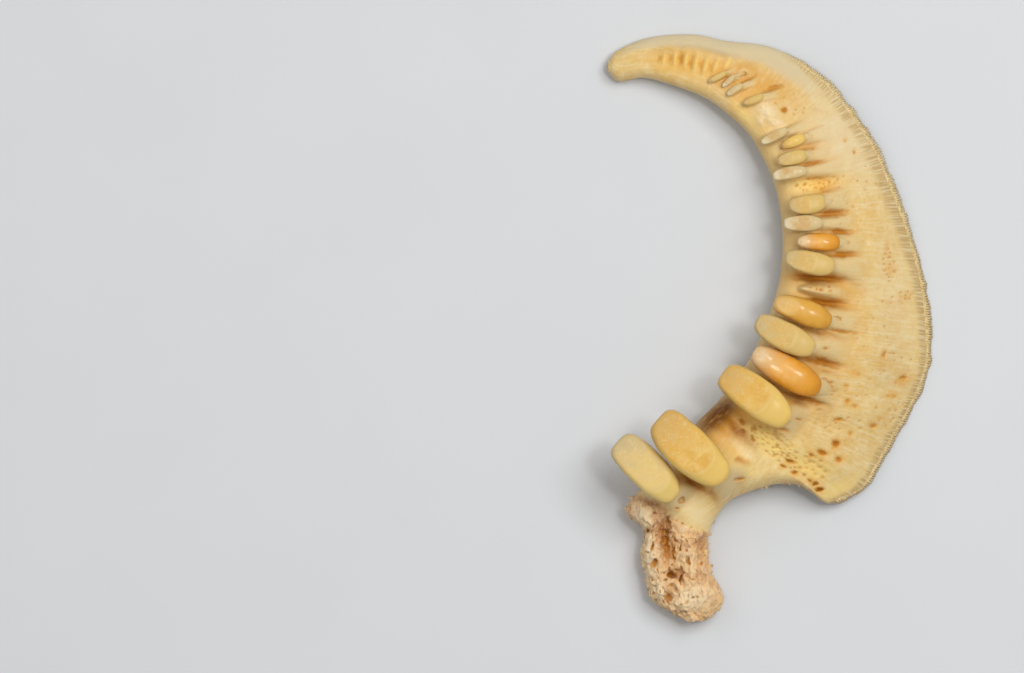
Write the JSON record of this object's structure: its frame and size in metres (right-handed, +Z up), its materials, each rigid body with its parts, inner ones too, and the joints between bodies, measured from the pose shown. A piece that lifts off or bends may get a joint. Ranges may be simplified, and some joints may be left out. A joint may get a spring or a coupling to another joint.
{
  "type": "fish pharyngeal arch with teeth",
  "caption": "Crescent-shaped throat bone of a bony fish with a comb of blunt grinding teeth along its hollow edge, lying teeth up.",
  "frame": {"origin": "on the floor, under the middle of the bone's bounding box", "axes": "+Z up, the way the teeth point; +Y from the foot to the dorsal horn, the bone's length; +X from the hollow of the crescent to the blade's outer edge"},
  "size_m": [0.0295, 0.0538, 0.0104],
  "materials": {
    "bone": "dry cleaned fish bone, cream to straw yellow, dull with a faint wax sheen",
    "spongy_bone": "open spongy bone at the rough foot, tan to rust brown, dull",
    "tooth": "tooth enameloid, cream to amber, glossy on its domes and frosted where worn"
  },
  "bodies": {
    "root": {"dorsal_horn": "bone", "toothed_blade": "bone", "ventral_foot": "spongy_bone"}
  },
  "joints": []
}
